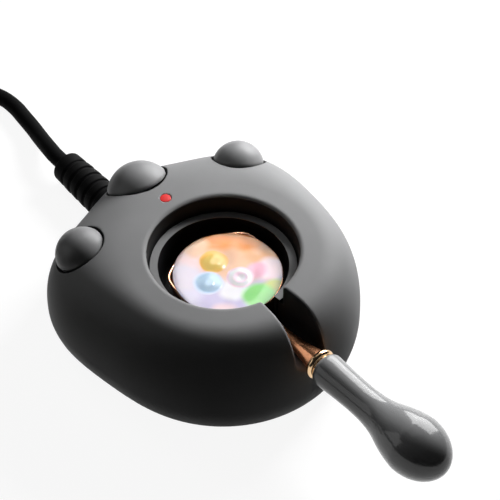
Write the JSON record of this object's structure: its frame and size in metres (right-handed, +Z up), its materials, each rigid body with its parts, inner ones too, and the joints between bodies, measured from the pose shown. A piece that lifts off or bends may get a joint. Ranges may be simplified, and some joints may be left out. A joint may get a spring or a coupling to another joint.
{
  "type": "wax seal warmer",
  "caption": "Paw-shaped electric warmer that melts sealing wax in a spoon set in its heated round well, with a toe-shaped power button, an indicator light and a mains lead.",
  "frame": {"origin": "on the table, in the middle of the foot ring's lower face, straight under the well's axis", "axes": "+Z up along the well's axis, +Y towards the toes and the mains lead, -Y along the spoon's handle"},
  "size_m": [0.1883, 0.3119, 0.0446],
  "materials": {
    "shell": "satin",
    "toe": "satin",
    "black_plastic": "matte",
    "foot": "matte",
    "cup": "black hard anodised, satin",
    "steel": "satin",
    "aluminium": "satin",
    "heater": "matte",
    "cutout": "matte",
    "board": "satin",
    "switch": "satin",
    "plunger": "satin",
    "lens": "gloss",
    "lamp": "gloss",
    "wire": "satin",
    "lead": "satin",
    "copper": "polished, copper coloured",
    "gold": "polished, gold coloured",
    "blade": "polished",
    "handle": "gloss",
    "wax": "melted, gloss"
  },
  "bodies": {
    "warmer": {"upper_shell": "shell", "base_plate": "black_plastic", "foot_ring": "foot", "base_screws": "steel", "heating_cup": "cup", "cup_retaining_ring": "steel", "heater_plate": "heater", "heater_clamp": "aluminium", "clamp_screws": "steel", "thermal_cutout": "cutout", "cutout_bracket": "steel", "bracket_rivets": "steel", "heat_shield": "aluminium", "toe_cap_left": "toe", "toe_cap_right": "toe", "toe_clips": "steel", "push_switch": "switch", "switch_board": "board", "board_screws": "steel", "indicator_lens": "lens", "indicator_lamp": "lamp", "cord_relief": "lead", "lead_stub": "lead", "lead_clamp": "black_plastic", "lead_clamp_screws": "steel", "lead_wires": "wire", "cord_run": "lead", "cord_coil": "lead", "coil_tie": "foot", "plug_body": "lead", "plug_blades": "blade"},
    "power_button": {"power_button": "toe", "button_clip": "steel", "switch_plunger": "plunger"},
    "spoon": {"spoon_bowl": "copper", "spoon_neck": "copper", "spoon_collar": "gold", "spoon_handle": "handle", "spoon_tang": "steel", "wax_pool": "wax"}
  },
  "joints": [
    {"name": "power_button_press", "type": "slide", "parent": "warmer", "child": "power_button", "axis": [0, -0.485, -0.8745], "range_m": [0, 0.0018], "stiffness_N_per_m": 900, "springref_m": -0.0008},
    {"name": "spoon_lift", "type": "slide", "parent": "warmer", "child": "spoon", "axis": [0, 0, 1], "range_m": [0, 0.06]}
  ]
}
